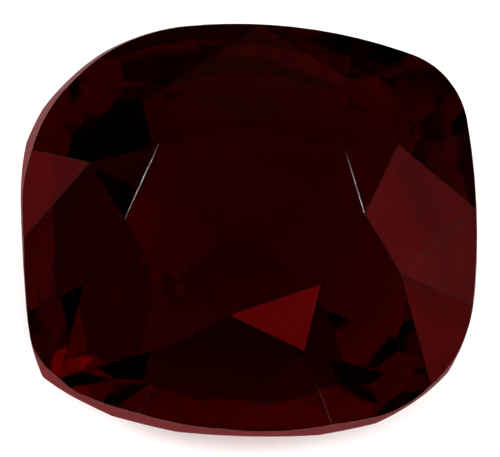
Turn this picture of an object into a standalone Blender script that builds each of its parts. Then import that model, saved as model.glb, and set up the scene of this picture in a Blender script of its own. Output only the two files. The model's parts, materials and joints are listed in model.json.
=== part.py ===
"""A loose cushion-cut ruby, cut facet by facet from a girdled blank and laid on its pavilion.

The stone is cut in its own frame: the girdle's top edge lies in the XY plane, the table faces +Z,
the long axis is X and the front long side faces -Y. It is then turned to lie on one pavilion facet.
Azimuths are in degrees, counter-clockwise from the right end (+X); slopes are from the girdle plane.
"""

from collections import namedtuple
from math import atan2, cos, pi, radians, sin, sqrt, tan
from random import Random

import bmesh
import bpy
import numpy as np
from mathutils import Matrix, Vector

MM = 0.001

# Girdle: the stone's widest line, drawn with four side arcs and four corner arcs
LENGTH = 10.2 * MM
WIDTH = 9.25 * MM
SIDE_RADIUS = {"back": 11.3 * MM, "front": 9.7 * MM}
END_RADIUS = {"right": 14.9 * MM, "left": 22.1 * MM}
CORNER_RADIUS = {
    ("back", "right"): 1.9 * MM,
    ("back", "left"): 4.2 * MM,
    ("front", "left"): 2.1 * MM,
    ("front", "right"): 3.1 * MM,
}
GIRDLE_SIDES = 144
GIRDLE_DEPTH = 0.45 * MM
GIRDLE_DRAFT = 0.09 * MM

# The native cut left the girdle uneven: its thickness under each facet of the pavilion's
# first row, counter-clockwise from the middle of the front side, in millimetres
GIRDLE_THICKNESS = (
    0.35, 0.50, 0.25, 0.10, 0.20, 0.30, 0.30, 0.30,
    0.30, 0.35, 0.60, 0.70, 0.40, 0.05, 0.40, 0.50,
)

# Crown: eight mains around an eight-sided table, with star and upper-girdle facets between.
# table_shift slides the main's table corner sideways, in metres; star_drop is how far down
# the crown the tip of the next star reaches, as a share of the crown's height.
CROWN_HEIGHT = 1.49 * MM
CrownMain = namedtuple("CrownMain", "azimuth slope table_shift star_drop")
CROWN_MAINS = (
    CrownMain(2.0, 29.0, -0.37 * MM, 0.32),
    CrownMain(52.0, 25.5, 0.36 * MM, 0.48),
    CrownMain(89.0, 30.5, 0.40 * MM, 0.35),
    CrownMain(135.0, 32.0, 0.14 * MM, 0.33),
    CrownMain(181.0, 36.0, -0.16 * MM, 0.41),
    CrownMain(229.0, 26.7, -0.12 * MM, 0.28),
    CrownMain(266.5, 33.5, -0.21 * MM, 0.26),
    CrownMain(313.0, 25.0, -0.62 * MM, 0.30),
)

# Pavilion: three rows of step facets; start is the depth under the girdle where a row begins.
# The last row is shallow, so the stone shows an even window of colour through its table.
PavilionRow = namedtuple("PavilionRow", "facets slope start")
PAVILION_ROWS = (
    PavilionRow(16, 60.0, 0.0 * MM),
    PavilionRow(16, 43.0, 1.35 * MM),
    PavilionRow(8, 25.0, 2.45 * MM),
)
RESTING_ROW = PAVILION_ROWS[2]
FRONT = radians(-90.0)

# How far the hand-held pavilion facets stray from their planned slope and azimuth
HAND_CUT = radians(0.9)
HAND_CUT_SEED = 11

# Cutting: how close to a plane a corner may be and still count as lying on it
ON_PLANE = 2e-7

RUBY_COLOUR = (0.28, 0.004, 0.012, 1.0)
RUBY_ROUGHNESS = 0.03
RUBY_IOR = 1.77


def clear_scene():
    """Remove whatever the file held before."""
    for old in list(bpy.data.objects):
        bpy.data.objects.remove(old, do_unlink=True)


def heading(azimuth):
    """Unit vector in the girdle plane."""
    return Vector((cos(azimuth), sin(azimuth), 0.0))


def girdle_arcs(azimuth):
    """Centre and radius of the side, end and corner arcs in this azimuth's quarter."""
    out = heading(azimuth)
    side = "back" if out.y >= 0 else "front"
    end = "right" if out.x >= 0 else "left"
    side_sign = 1.0 if side == "back" else -1.0
    end_sign = 1.0 if end == "right" else -1.0
    side_radius = SIDE_RADIUS[side]
    end_radius = END_RADIUS[end]
    corner_radius = CORNER_RADIUS[side, end]
    side_centre = Vector((0.0, side_sign * (WIDTH / 2 - side_radius), 0.0))
    end_centre = Vector((end_sign * (LENGTH / 2 - end_radius), 0.0, 0.0))
    # The corner arc touches both from inside, so its centre lies on two circles around theirs
    to_side = side_radius - corner_radius
    to_end = end_radius - corner_radius
    line = end_centre - side_centre
    apart = line.length
    along = (apart**2 + to_side**2 - to_end**2) / (2 * apart)
    across = sqrt(to_side**2 - along**2)
    line.normalize()
    sideways = Vector((line.y, -line.x, 0.0)) * (side_sign * end_sign)
    corner_centre = side_centre + line * along + sideways * across
    return (side_centre, side_radius), (end_centre, end_radius), (corner_centre, corner_radius)


def girdle_point(azimuth, height):
    """Point of the girdle wall at this height whose outward direction has this azimuth."""
    side, end, corner = girdle_arcs(azimuth)
    out = heading(azimuth)
    from_side = corner[0] - side[0]
    from_end = corner[0] - end[0]
    steepness = atan2(abs(out.y), abs(out.x))
    centre, radius = corner
    if steepness > atan2(abs(from_side.y), abs(from_side.x)):
        centre, radius = side
    if steepness < atan2(abs(from_end.y), abs(from_end.x)):
        centre, radius = end
    inset = GIRDLE_DRAFT / GIRDLE_DEPTH * (height + GIRDLE_DEPTH)
    point = centre + out * (radius - inset)
    point.z = height
    return point


def girdle_walk():
    """Azimuths all around from the front, and the length of girdle walked up to each."""
    azimuths = FRONT + np.linspace(0.0, 2 * pi, 721)
    points = [girdle_point(azimuth, 0.0) for azimuth in azimuths]
    steps = [(after - before).length for before, after in zip(points, points[1:])]
    return azimuths, np.concatenate([[0.0], np.cumsum(steps)])


def halfway(first, second):
    """Azimuth of the girdle point midway, by length, between two azimuths."""
    azimuths, lengths = girdle_walk()
    whole = lengths[-1]
    start = np.interp((first - FRONT) % (2 * pi) + FRONT, azimuths, lengths)
    stop = np.interp((second - FRONT) % (2 * pi) + FRONT, azimuths, lengths)
    if stop < start:
        stop += whole
    return float(np.interp(((start + stop) / 2) % whole, lengths, azimuths))


def evenly_spaced(count):
    """Azimuths of points spread at equal lengths along the girdle, from the front."""
    azimuths, lengths = girdle_walk()
    return [float(np.interp(lengths[-1] * index / count, lengths, azimuths)) for index in range(count)]


def facet_normal(azimuth, slope):
    """Outward normal of a facet tilted from the girdle plane; a negative slope faces down."""
    upward = 1.0 if slope >= 0 else -1.0
    return (heading(azimuth) * sin(abs(slope)) + Vector((0.0, 0.0, upward * cos(slope)))).normalized()


def plane_through(first, second, third):
    """Plane through three points, facing away from the stone's middle."""
    normal = (second - first).cross(third - first).normalized()
    if normal.dot(first) < 0:
        normal.negate()
    return first, normal


def meet(*planes):
    """Point shared by three planes."""
    rows = Matrix([normal for point, normal in planes])
    offsets = Vector([normal.dot(point) for point, normal in planes])
    return rows.inverted() @ offsets


def make_blank():
    """The girdled blank: the cushion outline, drawn in towards the crown by the draft."""
    bm = bmesh.new()
    bmesh.ops.create_cone(
        bm, cap_ends=True, segments=GIRDLE_SIDES, radius1=WIDTH, radius2=WIDTH, depth=2 * WIDTH
    )
    for vert in bm.verts:
        height = CROWN_HEIGHT if vert.co.z > 0 else -WIDTH
        vert.co = girdle_point(atan2(vert.co.y, vert.co.x), height)
    return bm


def cut(bm, plane):
    """Cut one flat facet: remove what lies outside the plane and close the stone with a face."""
    point, normal = plane
    everything = list(bm.verts) + list(bm.edges) + list(bm.faces)
    result = bmesh.ops.bisect_plane(
        bm, geom=everything, dist=ON_PLANE, plane_co=point, plane_no=normal, clear_outer=True
    )
    edges = [item for item in result["geom_cut"] if isinstance(item, bmesh.types.BMEdge)]
    rim = [edge for edge in edges if edge.is_boundary]
    if rim:
        bmesh.ops.contextual_create(bm, geom=rim)


def crown_planes():
    """All crown facets, from the chart of mains."""
    up = Vector((0.0, 0.0, 1.0))
    mains = []
    table_corners = []
    for main in CROWN_MAINS:
        azimuth = radians(main.azimuth)
        slope = radians(main.slope)
        tip = girdle_point(azimuth, 0.0)
        uphill = up * CROWN_HEIGHT - heading(azimuth) * (CROWN_HEIGHT / tan(slope))
        table_corners.append(tip + uphill + heading(azimuth + pi / 2) * main.table_shift)
        mains.append((tip, facet_normal(azimuth, slope)))
    between = []
    for index, main in enumerate(CROWN_MAINS):
        after = (index + 1) % len(CROWN_MAINS)
        tip, next_tip = mains[index][0], mains[after][0]
        level = up * (CROWN_HEIGHT * (1.0 - main.star_drop))
        star_tip = meet(mains[index], mains[after], (level, up))
        turn = girdle_point(halfway(radians(main.azimuth), radians(CROWN_MAINS[after].azimuth)), 0.0)
        between.append(plane_through(table_corners[index], table_corners[after], star_tip))
        between.append(plane_through(tip, turn, star_tip))
        between.append(plane_through(turn, next_tip, star_tip))
    return [(up * CROWN_HEIGHT, up)] + mains + between


def pavilion_planes():
    """All pavilion facets, row by row from the girdle to the keel, the resting facet cut true."""
    hand = Random(HAND_CUT_SEED)
    first = PAVILION_ROWS[0]
    second = PAVILION_ROWS[1]
    planes = []
    for row in PAVILION_ROWS:
        for index, azimuth in enumerate(evenly_spaced(row.facets)):
            thickness = GIRDLE_THICKNESS[index] * MM if row is first else GIRDLE_DEPTH
            point = girdle_point(azimuth, -thickness)
            first_fall = min(row.start, second.start)
            inward = first_fall / tan(radians(first.slope))
            inward += (row.start - first_fall) / tan(radians(second.slope))
            point += heading(azimuth) * -inward + Vector((0.0, 0.0, -row.start))
            stray = 0.0 if row is RESTING_ROW and index == 0 else HAND_CUT
            turned = azimuth + hand.uniform(-stray, stray)
            slope = radians(row.slope) + hand.uniform(-stray, stray)
            planes.append((point, facet_normal(turned, -slope)))
    return planes


def lay_down(bm):
    """Turn the stone onto its resting facet, with the middle of its box on the origin."""
    resting = facet_normal(FRONT, radians(-RESTING_ROW.slope))
    turn = resting.rotation_difference(Vector((0.0, 0.0, -1.0))).to_matrix()
    bmesh.ops.rotate(bm, verts=bm.verts, cent=(0.0, 0.0, 0.0), matrix=turn)
    low = Vector([min(vert.co[axis] for vert in bm.verts) for axis in range(3)])
    high = Vector([max(vert.co[axis] for vert in bm.verts) for axis in range(3)])
    middle = (low + high) / 2
    bmesh.ops.translate(bm, verts=bm.verts, vec=(-middle.x, -middle.y, -low.z))


def ruby_material():
    """Deep red, glassy corundum."""
    material = bpy.data.materials.new("ruby")
    material.use_nodes = True
    shader = material.node_tree.nodes["Principled BSDF"]
    shader.inputs["Base Color"].default_value = RUBY_COLOUR
    shader.inputs["Roughness"].default_value = RUBY_ROUGHNESS
    shader.inputs["Metallic"].default_value = 0.0
    shader.inputs["IOR"].default_value = RUBY_IOR
    return material


def make_ruby(collection):
    """Cut the whole stone from one blank, as a lapidary does: pavilion first, then the crown."""
    bm = make_blank()
    for plane in pavilion_planes() + crown_planes():
        cut(bm, plane)
    bmesh.ops.recalc_face_normals(bm, faces=bm.faces)
    lay_down(bm)
    mesh = bpy.data.meshes.new("ruby")
    bm.to_mesh(mesh)
    bm.free()
    mesh.materials.append(ruby_material())
    ruby = bpy.data.objects.new("ruby", mesh)
    collection.objects.link(ruby)
    return ruby


def main():
    clear_scene()
    collection = bpy.data.collections.new("cushion_cut_ruby")
    bpy.context.scene.collection.children.link(collection)
    make_ruby(collection)


main()
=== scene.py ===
"""Finish, floor, light and camera for a loose cushion-cut ruby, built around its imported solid."""

import json
from collections import namedtuple
from math import cos, pi, radians, sin
from random import Random

import bmesh
import bpy
from bpy.props import FloatProperty, FloatVectorProperty, IntProperty, PointerProperty
from mathutils import Matrix, Vector


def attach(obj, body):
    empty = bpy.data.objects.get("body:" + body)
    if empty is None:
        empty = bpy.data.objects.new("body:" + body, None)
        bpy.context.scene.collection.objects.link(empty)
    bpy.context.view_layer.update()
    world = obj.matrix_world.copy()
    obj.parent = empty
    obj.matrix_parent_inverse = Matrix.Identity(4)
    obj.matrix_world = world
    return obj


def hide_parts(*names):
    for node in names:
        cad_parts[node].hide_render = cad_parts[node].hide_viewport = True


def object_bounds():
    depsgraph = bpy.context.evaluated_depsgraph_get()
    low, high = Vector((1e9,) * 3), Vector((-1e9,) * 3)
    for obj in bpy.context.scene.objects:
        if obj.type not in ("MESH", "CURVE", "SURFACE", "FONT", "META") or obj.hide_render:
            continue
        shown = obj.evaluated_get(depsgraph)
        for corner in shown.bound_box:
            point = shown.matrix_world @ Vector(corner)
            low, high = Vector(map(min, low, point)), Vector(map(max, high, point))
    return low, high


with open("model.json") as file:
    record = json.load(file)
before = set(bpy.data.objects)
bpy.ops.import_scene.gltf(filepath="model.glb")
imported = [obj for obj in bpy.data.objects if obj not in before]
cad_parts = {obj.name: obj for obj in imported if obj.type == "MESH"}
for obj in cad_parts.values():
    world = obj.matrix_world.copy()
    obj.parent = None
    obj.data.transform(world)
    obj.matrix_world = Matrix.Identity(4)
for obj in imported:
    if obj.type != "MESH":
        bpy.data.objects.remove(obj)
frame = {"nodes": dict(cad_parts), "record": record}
CAD_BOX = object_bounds()

bl_info = {
    "name": "Cushion-Cut Ruby",
    "version": (1, 0, 0),
    "blender": (4, 5, 0),
    "location": "View3D > Sidebar > Ruby",
    "description": "Polishes a cut ruby, grinds its girdle and sets it on a lit floor",
    "category": "Object",
}

MM = 0.001
STONE_NODE = "ruby"
BODY = "root"

# Camera film in millimetres, and clip distances as shares of the camera's distance and the floor's side
FILM_WIDTH = 36.0
CLIP_NEAR = 0.01
CLIP_FAR = 4.0

# How often a ray may pass through or be mirrored before it ends
PASSAGES = 24
MIRRORINGS = 16

# What the stone's mesh says about each face or corner, for its materials and its girdle grain
GIRDLE = "girdle"
WORN_EDGE = "worn_edge"
LAP_LINES = "lap_lines"
GROUND = "ground"

# A face whose girdle mark is above this is part of the girdle
MARKED = 0.5

POLISHED_SLOT = 0
FROSTED_SLOT = 1
WORN_SLOT = 2

# Strips across a worn edge, the bevel profile that is a round one, and cuts along a girdle edge
EDGE_STRIPS = 3
ROUND_PROFILE = 0.5
GIRDLE_CUTS = 3


class RubyCutSettings(bpy.types.PropertyGroup):
    """Sizes of the facets' worn edges and of the ground girdle."""

    weld: FloatProperty(
        name="Weld", description="Corners closer than this are one corner",
        default=0.0001 * MM, min=0.0, unit="LENGTH", precision=7,
    )
    flat_angle: FloatProperty(
        name="Flat angle", description="Triangles that meet at less than this angle are one facet",
        default=radians(0.4), min=0.0, subtype="ANGLE",
    )
    short_edge: FloatProperty(
        name="Shortest edge", description="Shorter edges are closed up before the edges are rounded",
        default=0.04 * MM, min=0.0, unit="LENGTH", precision=6,
    )
    edge_width: FloatProperty(
        name="Edge wear", description="How far the worn rounding of a facet edge reaches over the facet",
        default=0.008 * MM, min=0.0, unit="LENGTH", precision=6,
    )
    girdle_tilt: FloatProperty(
        name="Girdle tilt", description="Faces this close to square with the table belong to the girdle",
        default=radians(17.5), min=0.0, subtype="ANGLE",
    )
    grain_height: FloatProperty(
        name="Girdle grain height", description="How far the ground girdle rises and falls",
        default=0.012 * MM, min=0.0, unit="LENGTH", precision=6,
    )
    grain_size: FloatProperty(
        name="Girdle grain size", description="Size of the bumps that grinding left on the girdle",
        default=0.12 * MM, min=0.001 * MM, unit="LENGTH", precision=6,
    )
    seed: IntProperty(
        name="Seed", description="Seed of the lap lines' directions and of the girdle's grain", default=5,
    )


class RubyFinishSettings(bpy.types.PropertyGroup):
    """Colour, polish and frosting of the ruby."""

    surface_tint: FloatVectorProperty(
        name="Surface tint", description="Tint of light that enters where the colour is even",
        subtype="COLOR", size=4, min=0.0, max=1.0, default=(0.62, 0.10, 0.12, 1.0),
    )
    zone_tint: FloatVectorProperty(
        name="Zone tint", description="Tint of light that enters over the stone's deeper colour zones",
        subtype="COLOR", size=4, min=0.0, max=1.0, default=(0.50, 0.07, 0.09, 1.0),
    )
    zone_size: FloatProperty(
        name="Zone size", description="Size of the colour zones", default=2.5 * MM, unit="LENGTH",
    )
    crystal_colour: FloatVectorProperty(
        name="Crystal colour", description="Colour that the crystal leaves in light that passes through",
        subtype="COLOR", size=4, min=0.0, max=1.0, default=(0.84, 0.0, 0.12, 1.0),
    )
    crystal_depth: FloatProperty(
        name="Crystal depth", description="Strength of the crystal's colour, per metre",
        default=1800.0, min=0.0,
    )
    index: FloatProperty(
        name="Refractive index", description="Refractive index of corundum", default=1.77, min=1.0,
    )
    mirror_tint: FloatVectorProperty(
        name="Mirror tint", description="Tint of what the facets mirror",
        subtype="COLOR", size=4, min=0.0, max=1.0, default=(1.0, 0.01, 0.015, 1.0),
    )
    edge_gloss: FloatVectorProperty(
        name="Edge gloss", description="Tint of what the worn facet edges mirror",
        subtype="COLOR", size=4, min=0.0, max=1.0, default=(0.25, 0.19, 0.19, 1.0),
    )
    polish: FloatProperty(
        name="Polish", description="Roughness of the cleanest part of a facet",
        default=0.03, min=0.0, max=1.0, subtype="FACTOR",
    )
    smear: FloatProperty(
        name="Smear", description="Roughness of the dullest part of a facet",
        default=0.08, min=0.0, max=1.0, subtype="FACTOR",
    )
    smear_size: FloatProperty(
        name="Smear size", description="Size of the dull patches on a facet",
        default=1.2 * MM, unit="LENGTH",
    )
    edge_roughness: FloatProperty(
        name="Edge roughness", description="Roughness of the worn facet edges",
        default=0.12, min=0.0, max=1.0, subtype="FACTOR",
    )
    lap_spacing: FloatProperty(
        name="Lap line spacing", description="Distance between the fine lines that the lap left",
        default=0.05 * MM, min=0.001 * MM, unit="LENGTH", precision=6,
    )
    lap_depth: FloatProperty(
        name="Lap line depth", description="Depth of those lines",
        default=0.00003 * MM, min=0.0, unit="LENGTH", precision=8,
    )
    frost_colour: FloatVectorProperty(
        name="Frost colour", description="Colour of the ground girdle",
        subtype="COLOR", size=4, min=0.0, max=1.0, default=(0.12, 0.006, 0.007, 1.0),
    )
    frost_shade: FloatVectorProperty(
        name="Frost shade", description="Colour of the ground girdle where the crystal shows through",
        subtype="COLOR", size=4, min=0.0, max=1.0, default=(0.05, 0.003, 0.004, 1.0),
    )
    frost_gloss: FloatVectorProperty(
        name="Frost gloss", description="Tint of the ground girdle's dull gloss",
        subtype="COLOR", size=4, min=0.0, max=1.0, default=(1.0, 0.35, 0.35, 1.0),
    )
    frost_shine: FloatProperty(
        name="Frost shine", description="Strength of the ground girdle's dull gloss",
        default=0.012, min=0.0, max=1.0, subtype="FACTOR", precision=3,
    )
    frost_low: FloatProperty(
        name="Frost roughness, low", description="Roughness of the girdle's smoother grains",
        default=0.40, min=0.0, max=1.0, subtype="FACTOR",
    )
    frost_high: FloatProperty(
        name="Frost roughness, high", description="Roughness of the girdle's dullest grains",
        default=0.65, min=0.0, max=1.0, subtype="FACTOR",
    )
    frost_size: FloatProperty(
        name="Frost size", description="Size of the girdle's finest grain",
        default=0.05 * MM, min=0.001 * MM, unit="LENGTH", precision=6,
    )


class RubyStageSettings(bpy.types.PropertyGroup):
    """Floor, room and camera."""

    floor_size: FloatProperty(
        name="Floor size", description="Side of the square floor", default=3.0, min=0.1, unit="LENGTH",
    )
    floor_colour: FloatVectorProperty(
        name="Floor colour", description="Colour of the floor",
        subtype="COLOR", size=4, min=0.0, max=1.0, default=(0.93, 0.92, 0.91, 1.0),
    )
    room_seen: FloatProperty(
        name="Room seen", description="Brightness of the room behind the floor", default=1.0, min=0.0,
    )
    room_light: FloatProperty(
        name="Room light", description="Soft light that the room sheds", default=0.5, min=0.0,
    )
    room_through: FloatProperty(
        name="Room through the stone", description="Brightness of the room above, seen through the crystal",
        default=1.9, min=0.0,
    )
    room_beneath: FloatProperty(
        name="Beneath the stone", description="Brightness of the floor beneath, seen through the crystal",
        default=0.12, min=0.0,
    )
    room_mirrored: FloatProperty(
        name="Room mirrored", description="Brightness of the room in the facets' mirror image",
        default=0.0, min=0.0,
    )
    view_lean: FloatProperty(
        name="View lean", description="Angle between the camera's line and the table facet's",
        default=radians(13.0), subtype="ANGLE",
    )
    view_side: FloatProperty(
        name="View side", description="Side to which the camera leans, counter-clockwise from the right",
        default=radians(236.0), subtype="ANGLE",
    )
    view_roll: FloatProperty(
        name="View roll", description="How far the camera is turned about its own line of sight",
        default=0.0, subtype="ANGLE",
    )
    distance: FloatProperty(
        name="Camera distance", description="From the camera to the point in the picture's middle",
        default=400 * MM, min=1 * MM, unit="LENGTH",
    )
    field_width: FloatProperty(
        name="Field width", description="Width that the picture shows at the stone",
        default=10.95 * MM, min=0.1 * MM, unit="LENGTH", precision=6,
    )
    aim: FloatVectorProperty(
        name="Aim", description="Point in the picture's middle, from the table facet's middle",
        size=3, subtype="TRANSLATION", unit="LENGTH", precision=6,
        default=(0.35 * MM, -0.02 * MM, -1.5 * MM),
    )


# Light that the photograph's facets and girdle show: direction from the stone, azimuth from its front
# to its right, apparent size in degrees, brightness, and the kinds of ray that it is set to meet
Softbox = namedtuple("Softbox", "name azimuth elevation wide high radiance meets")
SOFTBOX_REACH = 300 * MM
SOFTBOXES = (
    Softbox("right_card", 78.6, 22, 29, 17, 0.5, "glossy"),
    Softbox("front_card", 25, 40, 14, 14, 1.0, "glossy"),
    Softbox("left_card", -105.5, 22, 24, 18, 0.65, "glossy"),
    Softbox("left_fill", -50, 33, 78, 16, 0.12, "glossy"),
    Softbox("back_fill", 170, 44, 24, 10, 0.07, "glossy"),
    Softbox("left_glint", -70, 76, 4, 4, 320.0, "glossy"),
    Softbox("right_glint", 77, 62.6, 4, 4, 320.0, "glossy"),
    Softbox("right_spark", 90, 35, 8, 8, 7.0, "transmission"),
    Softbox("front_wash", 0, 50, 40, 40, 7.5, "diffuse"),
    Softbox("top_wash", 0, 80, 40, 40, 1.5, "diffuse"),
    Softbox("left_wash", -110, 25, 30, 30, 12.0, "diffuse"),
    Softbox("right_wash", 80, 30, 30, 30, 3.0, "diffuse transmission"),
)


def flat_face(name):
    """Middle and outward normal of one of the stone's flat faces, from the frame's record."""
    for mount in frame["record"]["mounts"]:
        if mount["name"] == name:
            return Vector(mount["pos_m"]), Vector(mount["axis"]).normalized()
    raise RuntimeError("the packed record has no mount named " + name)


def stone_frame():
    """The stone's own directions as columns: its long axis, up its table, and out of its table."""
    out = flat_face("table")[1]
    along = Vector((1.0, 0.0, 0.0))
    return Matrix((along, out.cross(along), out)).transposed()


def new_tree(name, kind, inputs, outputs):
    """Empty node group with named sockets and its input and output nodes."""
    tree = bpy.data.node_groups.new(name, kind)
    for direction, sockets in (("INPUT", inputs), ("OUTPUT", outputs)):
        for label, socket in sockets:
            tree.interface.new_socket(label, in_out=direction, socket_type="NodeSocket" + socket)
    start = add_node(tree, "NodeGroupInput", -800, 0)
    end = add_node(tree, "NodeGroupOutput", 800, 0)
    return tree, start, end


def add_node(tree, kind, x, y, constants=None, **settings):
    """Add a node, choose its settings and fill the sockets that stay constant."""
    node = tree.nodes.new(kind)
    node.location = (x, y)
    for key, value in settings.items():
        setattr(node, key, value)
    for socket, value in (constants or {}).items():
        node.inputs[socket].default_value = value
    return node


def add_math(tree, operation, x, y, first, second):
    """Add a maths node; each operand is a number or the socket that feeds it."""
    node = add_node(tree, "ShaderNodeMath", x, y, operation=operation)
    for socket, operand in zip(node.inputs, (first, second)):
        if isinstance(operand, bpy.types.NodeSocket):
            tree.links.new(operand, socket)
        else:
            socket.default_value = operand
    return node.outputs["Value"]


def fine_grain():
    """Shader group: uneven patches of one size, as a value between two limits and as a mask."""
    tree, start, end = new_tree(
        "Fine Grain", "ShaderNodeTree",
        (("Size", "Float"), ("Low", "Float"), ("High", "Float")),
        (("Value", "Float"), ("Mask", "Float")),
    )
    place = add_node(tree, "ShaderNodeTexCoord", -600, 200)
    noise = add_node(tree, "ShaderNodeTexNoise", -200, 100, {"Detail": 3.0, "Roughness": 0.55})
    scale = add_math(tree, "DIVIDE", -400, -50, 1.0, start.outputs["Size"])
    mask = add_node(tree, "ShaderNodeMapRange", 100, 100, {"From Min": 0.32, "From Max": 0.68})
    value = add_node(tree, "ShaderNodeMapRange", 400, 0)
    tree.links.new(place.outputs["Object"], noise.inputs["Vector"])
    tree.links.new(scale, noise.inputs["Scale"])
    tree.links.new(noise.outputs["Fac"], mask.inputs["Value"])
    tree.links.new(mask.outputs["Result"], value.inputs["Value"])
    tree.links.new(start.outputs["Low"], value.inputs["To Min"])
    tree.links.new(start.outputs["High"], value.inputs["To Max"])
    tree.links.new(value.outputs["Result"], end.inputs["Value"])
    tree.links.new(mask.outputs["Result"], end.inputs["Mask"])
    return tree


def lap_lines():
    """Shader group: the fine straight lines that a lap leaves across a facet, as a height."""
    tree, start, end = new_tree(
        "Lap Lines", "ShaderNodeTree",
        (("Across", "Vector"), ("Spacing", "Float"), ("Depth", "Float")),
        (("Height", "Float"),),
    )
    place = add_node(tree, "ShaderNodeTexCoord", -600, 200)
    along = add_node(tree, "ShaderNodeVectorMath", -400, 100, operation="DOT_PRODUCT")
    steps = add_math(tree, "DIVIDE", -200, 0, along.outputs["Value"], start.outputs["Spacing"])
    noise = add_node(
        tree, "ShaderNodeTexNoise", 100, 0, {"Scale": 1.0, "Detail": 2.0}, noise_dimensions="1D"
    )
    height = add_math(tree, "MULTIPLY", 400, 0, noise.outputs["Fac"], start.outputs["Depth"])
    tree.links.new(place.outputs["Object"], along.inputs[0])
    tree.links.new(start.outputs["Across"], along.inputs[1])
    tree.links.new(steps, noise.inputs["W"])
    tree.links.new(height, end.inputs["Height"])
    return tree


def new_material(name):
    """Node material that holds only its output and a shader."""
    material = bpy.data.materials.new(name)
    material.use_nodes = True
    tree = material.node_tree
    tree.nodes.clear()
    out = add_node(tree, "ShaderNodeOutputMaterial", 900, 0)
    shader = add_node(tree, "ShaderNodeBsdfPrincipled", 600, 0)
    tree.links.new(shader.outputs["BSDF"], out.inputs["Surface"])
    return material, tree, out, shader


def crystal_material(name, mirror_tint, finish, grain, lines):
    """Clear deep-red crystal behind lapped facets or their worn edges."""
    material, tree, out, shader = new_material(name)
    shader.inputs["Metallic"].default_value = 0.0
    shader.inputs["IOR"].default_value = finish.index
    shader.inputs["Transmission Weight"].default_value = 1.0
    shader.inputs["Specular Tint"].default_value = mirror_tint
    absorption = add_node(
        tree, "ShaderNodeVolumeAbsorption", 600, -500,
        {"Color": finish.crystal_colour, "Density": finish.crystal_depth},
    )
    tree.links.new(absorption.outputs["Volume"], out.inputs["Volume"])
    zones = add_node(tree, "ShaderNodeGroup", -400, 300, node_tree=grain)
    zones.inputs["Size"].default_value = finish.zone_size
    tint = add_node(tree, "ShaderNodeMix", -100, 300, data_type="RGBA")
    tint.inputs["A"].default_value = finish.surface_tint
    tint.inputs["B"].default_value = finish.zone_tint
    tree.links.new(zones.outputs["Mask"], tint.inputs["Factor"])
    tree.links.new(tint.outputs["Result"], shader.inputs["Base Color"])
    smear = add_node(tree, "ShaderNodeGroup", -400, 0, node_tree=grain)
    smear.inputs["Size"].default_value = finish.smear_size
    smear.inputs["Low"].default_value = finish.polish
    smear.inputs["High"].default_value = finish.smear
    worn = add_node(tree, "ShaderNodeAttribute", -400, -200, attribute_name=WORN_EDGE)
    dull = add_node(tree, "ShaderNodeMix", -100, 0, {"B": finish.edge_roughness})
    tree.links.new(worn.outputs["Fac"], dull.inputs["Factor"])
    tree.links.new(smear.outputs["Value"], dull.inputs["A"])
    tree.links.new(dull.outputs["Result"], shader.inputs["Roughness"])
    across = add_node(tree, "ShaderNodeAttribute", -700, -400, attribute_name=LAP_LINES)
    lapped = add_node(tree, "ShaderNodeGroup", -400, -400, node_tree=lines)
    lapped.inputs["Spacing"].default_value = finish.lap_spacing
    lapped.inputs["Depth"].default_value = finish.lap_depth
    bump = add_node(tree, "ShaderNodeBump", -100, -400, {"Strength": 1.0, "Distance": 1.0})
    tree.links.new(across.outputs["Vector"], lapped.inputs["Across"])
    tree.links.new(lapped.outputs["Height"], bump.inputs["Height"])
    tree.links.new(bump.outputs["Normal"], shader.inputs["Normal"])
    return material


def frosted_material(finish, grain):
    """Ground girdle: dull, dark red and opaque."""
    material, tree, _, shader = new_material("ruby_frosted_girdle")
    shader.inputs["Metallic"].default_value = 0.0
    shader.inputs["IOR"].default_value = finish.index
    shader.inputs["Specular Tint"].default_value = finish.frost_gloss
    shader.inputs["Specular IOR Level"].default_value = finish.frost_shine
    fine = add_node(tree, "ShaderNodeGroup", -400, 0, node_tree=grain)
    fine.inputs["Size"].default_value = finish.frost_size
    fine.inputs["Low"].default_value = finish.frost_low
    fine.inputs["High"].default_value = finish.frost_high
    tint = add_node(tree, "ShaderNodeMix", -100, 200, data_type="RGBA")
    tint.inputs["A"].default_value = finish.frost_shade
    tint.inputs["B"].default_value = finish.frost_colour
    tree.links.new(fine.outputs["Mask"], tint.inputs["Factor"])
    tree.links.new(tint.outputs["Result"], shader.inputs["Base Color"])
    tree.links.new(fine.outputs["Value"], shader.inputs["Roughness"])
    return material


def whole_facets(cut):
    """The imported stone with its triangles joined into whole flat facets."""
    bm = bmesh.new()
    bm.from_mesh(frame["nodes"][STONE_NODE].data)
    bmesh.ops.remove_doubles(bm, verts=bm.verts, dist=cut.weld)
    bmesh.ops.dissolve_limit(bm, angle_limit=cut.flat_angle, verts=bm.verts, edges=bm.edges)
    bmesh.ops.dissolve_degenerate(bm, dist=cut.short_edge, edges=bm.edges)
    bmesh.ops.recalc_face_normals(bm, faces=bm.faces)
    return bm


def mark_faces(bm, cut):
    """Tell the girdle from the facets, and give each facet the direction across its lap lines."""
    girdle = bm.faces.layers.float.new(GIRDLE)
    across = bm.faces.layers.float_vector.new(LAP_LINES)
    bm.faces.layers.float.new(WORN_EDGE)
    table = flat_face("table")[1]
    hand = Random(cut.seed)
    for face in bm.faces:
        on_girdle = abs(face.normal.dot(table)) < sin(cut.girdle_tilt)
        face[girdle] = float(on_girdle)
        face.material_index = FROSTED_SLOT if on_girdle else POLISHED_SLOT
        face.smooth = on_girdle
        loose = Vector([hand.uniform(-1.0, 1.0) for _ in range(3)])
        face[across] = face.normal.cross(loose).normalized()


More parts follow.
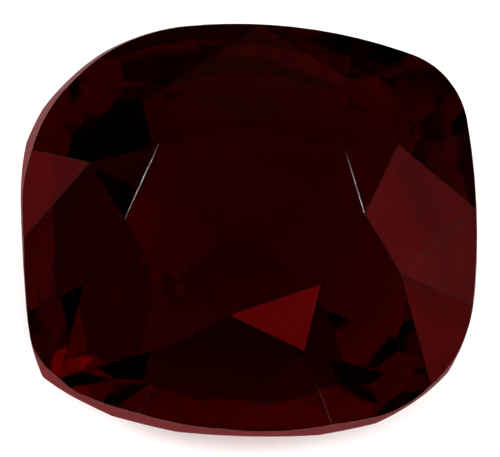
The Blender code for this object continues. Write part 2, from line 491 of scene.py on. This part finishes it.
def wear_edges(bm, cut):
    """Round the facets' edges a little, the girdle's rims among them."""
    girdle = bm.faces.layers.float[GIRDLE]
    edge_mask = bm.faces.layers.float[WORN_EDGE]
    sharp = [edge for edge in bm.edges if min(face[girdle] for face in edge.link_faces) == 0.0]
    rounded = bmesh.ops.bevel(
        bm, geom=sharp, offset=cut.edge_width, offset_type="OFFSET", segments=EDGE_STRIPS,
        profile=ROUND_PROFILE, affect="EDGES", clamp_overlap=False, material=WORN_SLOT,
    )
    for face in rounded["faces"]:
        face[girdle] = 0.0
        face[edge_mask] = 1.0
        face.smooth = True


def split_girdle(bm):
    """Divide the girdle finely enough for its grain, and mark the corners that may move."""
    girdle = bm.faces.layers.float[GIRDLE]
    walls = [face for face in bm.faces if face[girdle] > MARKED]
    bmesh.ops.triangulate(bm, faces=walls)
    walls = [face for face in bm.faces if face[girdle] > MARKED]
    edges = {edge for face in walls for edge in face.edges}
    bmesh.ops.subdivide_edges(bm, edges=list(edges), cuts=GIRDLE_CUTS, use_grid_fill=True)
    ground = bm.verts.layers.float.new(GROUND)
    for vert in bm.verts:
        inside = all(face[girdle] > MARKED for face in vert.link_faces)
        vert[ground] = float(inside)


def girdle_grain():
    """Geometry Nodes tree: raise and lower the ground girdle by a grain, and frost it."""
    tree, start, end = new_tree(
        "Girdle Grain", "GeometryNodeTree",
        (
            ("Geometry", "Geometry"), ("Grain Height", "Float"), ("Grain Size", "Float"),
            ("Seed", "Float"), ("Frosted", "Material"),
        ),
        (("Geometry", "Geometry"),),
    )
    ground = add_node(
        tree, "GeometryNodeInputNamedAttribute", -800, -300, {"Name": GROUND}, data_type="FLOAT"
    )
    girdle = add_node(
        tree, "GeometryNodeInputNamedAttribute", 0, -500, {"Name": GIRDLE}, data_type="FLOAT"
    )
    place = add_node(tree, "GeometryNodeInputPosition", -800, -100)
    out = add_node(tree, "GeometryNodeInputNormal", -200, -300)
    scale = add_math(tree, "DIVIDE", -600, -200, 1.0, start.outputs["Grain Size"])
    noise = add_node(tree, "ShaderNodeTexNoise", -400, -100, {"Detail": 2.0}, noise_dimensions="4D")
    centred = add_math(tree, "SUBTRACT", -200, -100, noise.outputs["Fac"], 0.5)
    height = add_math(tree, "MULTIPLY", 0, -100, centred, start.outputs["Grain Height"])
    masked = add_math(tree, "MULTIPLY", 0, -250, height, ground.outputs["Attribute"])
    offset = add_node(tree, "ShaderNodeVectorMath", 200, -200, operation="SCALE")
    moved = add_node(tree, "GeometryNodeSetPosition", 200, 100)
    real = add_node(tree, "GeometryNodeRealizeInstances", 400, 100)
    frost = add_node(tree, "GeometryNodeSetMaterial", 600, 100)
    tree.links.new(place.outputs["Position"], noise.inputs["Vector"])
    tree.links.new(start.outputs["Seed"], noise.inputs["W"])
    tree.links.new(scale, noise.inputs["Scale"])
    tree.links.new(out.outputs["Normal"], offset.inputs[0])
    tree.links.new(masked, offset.inputs["Scale"])
    tree.links.new(start.outputs["Geometry"], moved.inputs["Geometry"])
    tree.links.new(offset.outputs["Vector"], moved.inputs["Offset"])
    tree.links.new(moved.outputs["Geometry"], real.inputs["Geometry"])
    tree.links.new(real.outputs["Geometry"], frost.inputs["Geometry"])
    tree.links.new(girdle.outputs["Attribute"], frost.inputs["Selection"])
    tree.links.new(start.outputs["Frosted"], frost.inputs["Material"])
    tree.links.new(frost.outputs["Geometry"], end.inputs["Geometry"])
    return tree


def run_tree(piece, tree, values):
    """Turn the piece into the plain mesh that the tree makes of it."""
    modifier = piece.modifiers.new(tree.name, "NODES")
    modifier.node_group = tree
    sockets = {item.name: item.identifier for item in tree.interface.items_tree if item.in_out == "INPUT"}
    for name, value in values.items():
        modifier[sockets[name]] = value
    depsgraph = bpy.context.evaluated_depsgraph_get()
    mesh = bpy.data.meshes.new_from_object(
        piece.evaluated_get(depsgraph), preserve_all_data_layers=True, depsgraph=depsgraph
    )
    piece.modifiers.remove(modifier)
    piece.data = mesh


class RUBY_OT_polish_stone(bpy.types.Operator):
    """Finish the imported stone: whole polished facets, worn edges and a ground girdle"""

    bl_idname = "ruby.polish_stone"
    bl_label = "Polish the Stone"

    def execute(self, context):
        cut = context.scene.ruby_cut
        finish = context.scene.ruby_finish
        bm = whole_facets(cut)
        mark_faces(bm, cut)
        wear_edges(bm, cut)
        split_girdle(bm)
        mesh = bpy.data.meshes.new("ruby_stone")
        bm.to_mesh(mesh)
        bm.free()
        grain = fine_grain()
        frosted = frosted_material(finish, grain)
        lines = lap_lines()
        mesh.materials.append(crystal_material("ruby_polished", finish.mirror_tint, finish, grain, lines))
        mesh.materials.append(frosted)
        mesh.materials.append(crystal_material("ruby_worn_edges", finish.edge_gloss, finish, grain, lines))
        stone = bpy.data.objects.new("ruby_stone", mesh)
        context.scene.collection.objects.link(stone)
        values = {
            "Grain Height": cut.grain_height, "Grain Size": cut.grain_size,
            "Seed": float(cut.seed), "Frosted": frosted,
        }
        run_tree(stone, girdle_grain(), values)
        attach(stone, BODY)
        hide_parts(STONE_NODE)
        return {"FINISHED"}


def towards(azimuth, elevation):
    """Unit vector from the stone; azimuth runs from the front to the right."""
    return Vector((sin(azimuth) * cos(elevation), -cos(azimuth) * cos(elevation), sin(elevation)))


def hang_softbox(box):
    """Hang one soft rectangular light."""
    light = bpy.data.lights.new(box.name, "AREA")
    light.shape = "RECTANGLE"
    light.size = SOFTBOX_REACH * radians(box.wide)
    light.size_y = SOFTBOX_REACH * radians(box.high)
    light.energy = box.radiance * pi * light.size * light.size_y
    holder = bpy.data.objects.new(box.name, light)
    out = towards(radians(box.azimuth), radians(box.elevation))
    place = (CAD_BOX[0] + CAD_BOX[1]) / 2 + out * SOFTBOX_REACH
    holder.matrix_world = Matrix.LocRotScale(place, out.to_track_quat("Z", "Y"), None)
    holder.visible_glossy = "glossy" in box.meets
    holder.visible_transmission = "transmission" in box.meets
    holder.visible_diffuse = "diffuse" in box.meets
    bpy.context.scene.collection.objects.link(holder)


def make_floor(stage):
    """Plain pale floor."""
    bm = bmesh.new()
    bmesh.ops.create_grid(bm, x_segments=1, y_segments=1, size=stage.floor_size / 2)
    mesh = bpy.data.meshes.new("floor")
    bm.to_mesh(mesh)
    bm.free()
    material, _, _, shader = new_material("pale_floor")
    shader.inputs["Base Color"].default_value = stage.floor_colour
    shader.inputs["Roughness"].default_value = 1.0
    shader.inputs["Specular IOR Level"].default_value = 0.0
    mesh.materials.append(material)
    floor = bpy.data.objects.new("floor", mesh)
    floor.visible_transmission = False
    bpy.context.scene.collection.objects.link(floor)


def make_room(stage):
    """A pale room, as bright as each kind of ray finds it."""
    world = bpy.data.worlds.new("room")
    bpy.context.scene.world = world
    world.use_nodes = True
    tree = world.node_tree
    tree.nodes.clear()
    out = add_node(tree, "ShaderNodeOutputWorld", 600, 0)
    room = add_node(tree, "ShaderNodeBackground", 400, 0, {"Color": (1.0, 1.0, 1.0, 1.0)})
    path = add_node(tree, "ShaderNodeLightPath", -600, 0)
    place = add_node(tree, "ShaderNodeTexCoord", -900, -400)
    axes = add_node(tree, "ShaderNodeSeparateXYZ", -700, -400)
    above = add_math(tree, "GREATER_THAN", -600, -500, axes.outputs["Z"], 0.0)
    through = add_node(
        tree, "ShaderNodeMix", -500, -400, {"A": stage.room_beneath, "B": stage.room_through}
    )
    tree.links.new(place.outputs["Generated"], axes.inputs["Vector"])
    tree.links.new(above, through.inputs["Factor"])
    brightness = 0.0
    for step, (ray, share) in enumerate((
        ("Is Camera Ray", stage.room_seen),
        ("Is Diffuse Ray", stage.room_light),
        ("Is Transmission Ray", through.outputs["Result"]),
        ("Is Glossy Ray", stage.room_mirrored),
    )):
        part = add_math(tree, "MULTIPLY", -300, -200 * step, path.outputs[ray], share)
        brightness = add_math(tree, "ADD", -100, -200 * step, part, brightness)
    tree.links.new(brightness, room.inputs["Strength"])
    tree.links.new(room.outputs["Background"], out.inputs["Surface"])


def place_camera(stage):
    """Long-lens camera at the photograph's viewing angle, almost straight over the table facet."""
    stone = stone_frame()
    lean, side = stage.view_lean, stage.view_side
    back = stone @ Vector((sin(lean) * cos(side), sin(lean) * sin(side), cos(lean)))
    level = stone.col[1].cross(back).normalized()
    right = Matrix.Rotation(stage.view_roll, 3, back) @ level
    up = back.cross(right)
    middle = flat_face("table")[0] + stone @ Vector(stage.aim)
    data = bpy.data.cameras.new("camera")
    data.sensor_width = FILM_WIDTH
    data.lens = FILM_WIDTH * stage.distance / stage.field_width
    data.clip_start = stage.distance * CLIP_NEAR
    data.clip_end = stage.floor_size * CLIP_FAR
    camera = bpy.data.objects.new("camera", data)
    turn = Matrix((right, up, back)).transposed().to_4x4()
    camera.matrix_world = Matrix.Translation(middle + back * stage.distance) @ turn
    bpy.context.scene.collection.objects.link(camera)
    bpy.context.scene.camera = camera


class RUBY_OT_set_stage(bpy.types.Operator):
    """Lay the pale floor, light the room, hang the softboxes and place the camera"""

    bl_idname = "ruby.set_stage"
    bl_label = "Set the Stage"

    def execute(self, context):
        stage = context.scene.ruby_stage
        make_floor(stage)
        make_room(stage)
        place_camera(stage)
        for box in SOFTBOXES:
            hang_softbox(box)
        context.scene.view_settings.view_transform = "Standard"
        cycles = context.scene.cycles
        cycles.max_bounces = PASSAGES
        cycles.transmission_bounces = PASSAGES
        cycles.glossy_bounces = MIRRORINGS
        return {"FINISHED"}


STEPS = (
    ("Cut", "ruby_cut", None),
    ("Finish", "ruby_finish", RUBY_OT_polish_stone),
    ("Stage", "ruby_stage", RUBY_OT_set_stage),
)


class RUBY_PT_workbench(bpy.types.Panel):
    """The ruby's settings and steps, in the order in which they are used"""

    bl_idname = "RUBY_PT_workbench"
    bl_label = "Cushion-Cut Ruby"
    bl_space_type = "VIEW_3D"
    bl_region_type = "UI"
    bl_category = "Ruby"

    def draw(self, context):
        for title, group, operator in STEPS:
            settings = getattr(context.scene, group)
            box = self.layout.box()
            box.label(text=title)
            for name in type(settings).__annotations__:
                box.prop(settings, name)
            if operator:
                box.operator(operator.bl_idname)


CLASSES = (
    RubyCutSettings,
    RubyFinishSettings,
    RubyStageSettings,
    RUBY_OT_polish_stone,
    RUBY_OT_set_stage,
    RUBY_PT_workbench,
)


def register():
    for each in CLASSES:
        bpy.utils.register_class(each)
    bpy.types.Scene.ruby_cut = PointerProperty(type=RubyCutSettings)
    bpy.types.Scene.ruby_finish = PointerProperty(type=RubyFinishSettings)
    bpy.types.Scene.ruby_stage = PointerProperty(type=RubyStageSettings)


def unregister():
    del bpy.types.Scene.ruby_stage
    del bpy.types.Scene.ruby_finish
    del bpy.types.Scene.ruby_cut
    for each in reversed(CLASSES):
        bpy.utils.unregister_class(each)


def main():
    register()
    bpy.ops.ruby.polish_stone()
    bpy.ops.ruby.set_stage()


if __name__ == "__main__":
    main()
